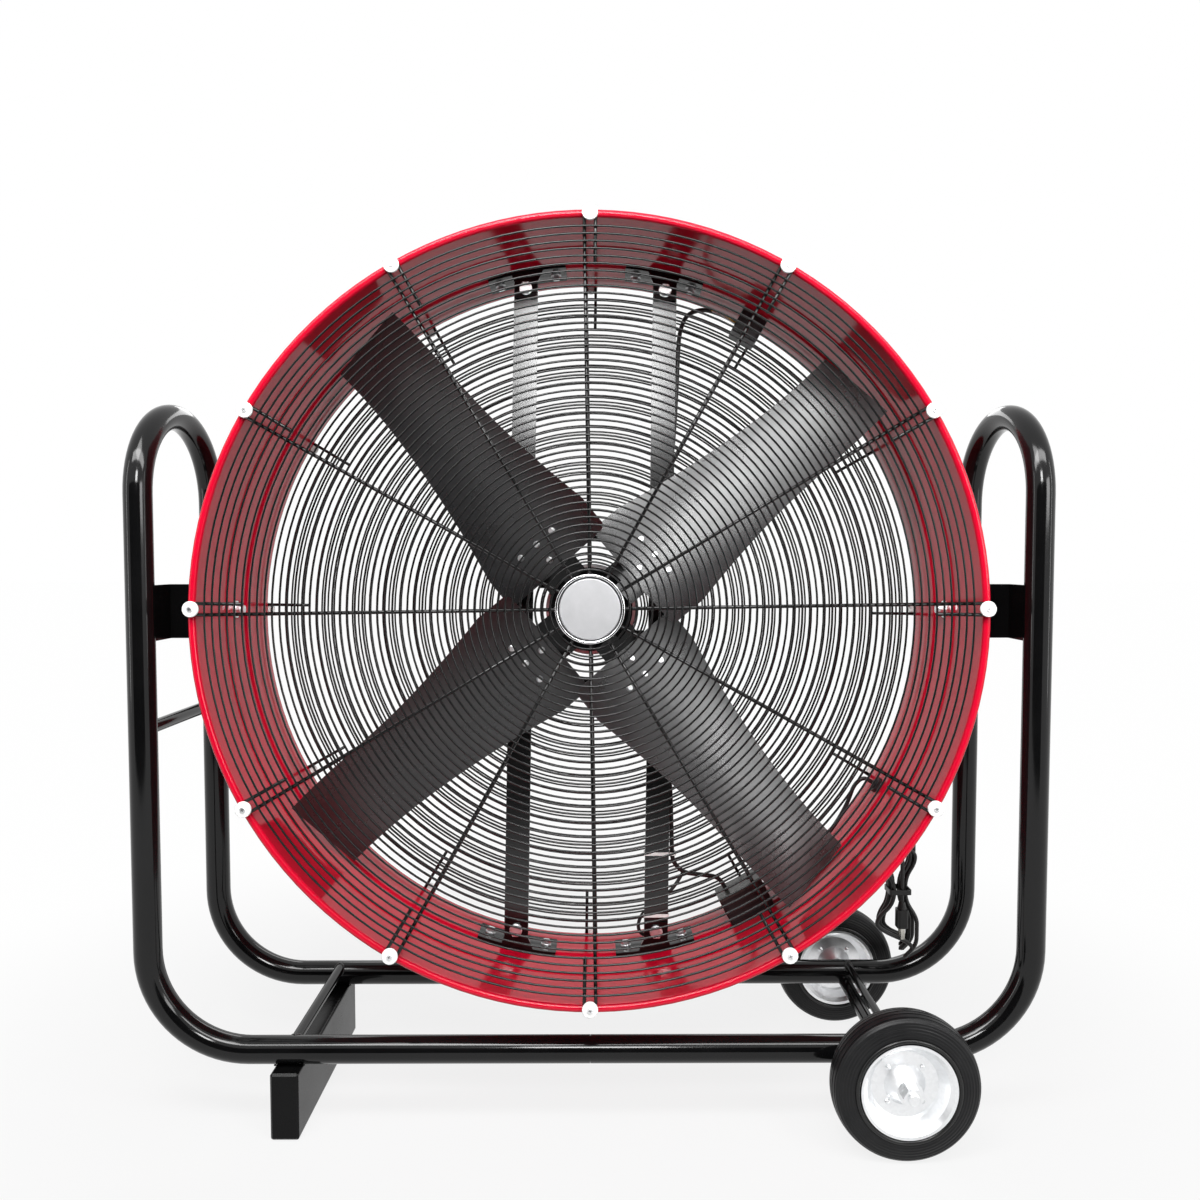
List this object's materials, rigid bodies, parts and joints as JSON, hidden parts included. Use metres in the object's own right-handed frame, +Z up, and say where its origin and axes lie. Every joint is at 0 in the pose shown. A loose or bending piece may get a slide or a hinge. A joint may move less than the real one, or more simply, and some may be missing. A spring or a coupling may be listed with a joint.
{
  "type": "drum fan",
  "caption": "Large wheeled drum fan: a red drum with wire grilles tilts between the uprights of a bent tube frame.",
  "frame": {"origin": "on the floor under the middle of the frame", "axes": "+Z up, the fan blows towards -Y at rest, +X is the side with the wheels, and Y runs along the axle"},
  "size_m": [1.3, 0.4626, 1.3081],
  "materials": {
    "black_paint": "gloss",
    "red_paint": "gloss",
    "blade_paint": "satin",
    "wire_paint": "satin",
    "zinc_plate": "satin",
    "bearing_steel": "satin",
    "core_iron": "matte",
    "motor_aluminium": "satin",
    "badge_silver": "brushed",
    "badge_chrome": "polished",
    "white_nylon": "satin",
    "black_plastic": "satin",
    "dial_silver": "satin",
    "tyre_rubber": "matte",
    "cord_rubber": "matte",
    "brass_pins": "satin"
  },
  "bodies": {
    "frame": {"frame_tube_left": "black_paint", "frame_tube_right": "black_paint", "joint_sleeves": "black_paint", "cross_rods": "black_paint", "foot_bar": "black_paint", "foot_end_caps": "black_plastic", "axle_sleeve": "black_paint", "axle": "zinc_plate", "axle_nuts": "zinc_plate", "pivot_bracket_left": "black_paint", "pivot_bracket_right": "black_paint"},
    "wheel_front": {"tire_front": "tyre_rubber", "rim_front": "zinc_plate", "bushing_front": "zinc_plate"},
    "wheel_rear": {"tire_rear": "tyre_rubber", "rim_rear": "zinc_plate", "bushing_rear": "zinc_plate"},
    "drum": {"drum_shell": "red_paint", "front_grille": "wire_paint", "rear_grille": "wire_paint", "grille_clips": "white_nylon", "clip_screws": "zinc_plate", "badge_disc": "badge_silver", "badge_ring": "badge_chrome", "motor_strut_left": "black_paint", "motor_strut_right": "black_paint", "wall_brackets": "black_paint", "bracket_bolts": "zinc_plate", "motor_yokes": "black_paint", "motor_bolts": "zinc_plate", "motor_shell": "black_paint", "motor_shields": "motor_aluminium", "motor_bearings": "bearing_steel", "stator_core": "core_iron", "junction_box": "black_plastic", "junction_lid": "black_plastic", "run_capacitor": "dial_silver", "switch_box": "black_plastic", "dial_plate": "dial_silver", "cord_gland": "black_plastic", "inner_cord": "cord_rubber", "motor_leads": "cord_rubber", "cable_ties": "white_nylon", "pivot_bolts": "zinc_plate", "pivot_spacers": "zinc_plate", "supply_cord": "cord_rubber", "cord_hank": "cord_rubber", "hank_tie": "cord_rubber", "plug_body": "cord_rubber", "plug_blades": "brass_pins"},
    "rotor": {"motor_shaft": "bearing_steel", "rotor_core": "core_iron", "hub_boss": "core_iron", "blade_spider": "black_paint", "blade_1": "blade_paint", "blade_2": "blade_paint", "blade_3": "blade_paint", "blade_4": "blade_paint", "blade_rivets": "zinc_plate"},
    "knob": {"speed_knob": "black_plastic"}
  },
  "joints": [
    {"name": "drum_tilt", "type": "hinge", "parent": "frame", "child": "drum", "pos_m": [0, 0, 0.7405], "axis": [1, 0, 0], "range_deg": [-86.8, 93.2]},
    {"name": "rotor_spin", "type": "hinge", "parent": "drum", "child": "rotor", "pos_m": [0, 0, 0.7405], "axis": [0, -0.9984, 0.0558], "continuous": true},
    {"name": "wheel_front_spin", "type": "hinge", "parent": "frame", "child": "wheel_front", "pos_m": [0.43, -0.19, 0.1015], "axis": [0, 1, 0], "continuous": true},
    {"name": "wheel_rear_spin", "type": "hinge", "parent": "frame", "child": "wheel_rear", "pos_m": [0.43, 0.19, 0.1015], "axis": [0, 1, 0], "continuous": true},
    {"name": "speed_turn", "type": "hinge", "parent": "drum", "child": "knob", "pos_m": [0.26637, 0.10848, 1.21179], "axis": [0.4879, 0.0487, 0.8716], "range_deg": [-135, 0]}
  ]
}
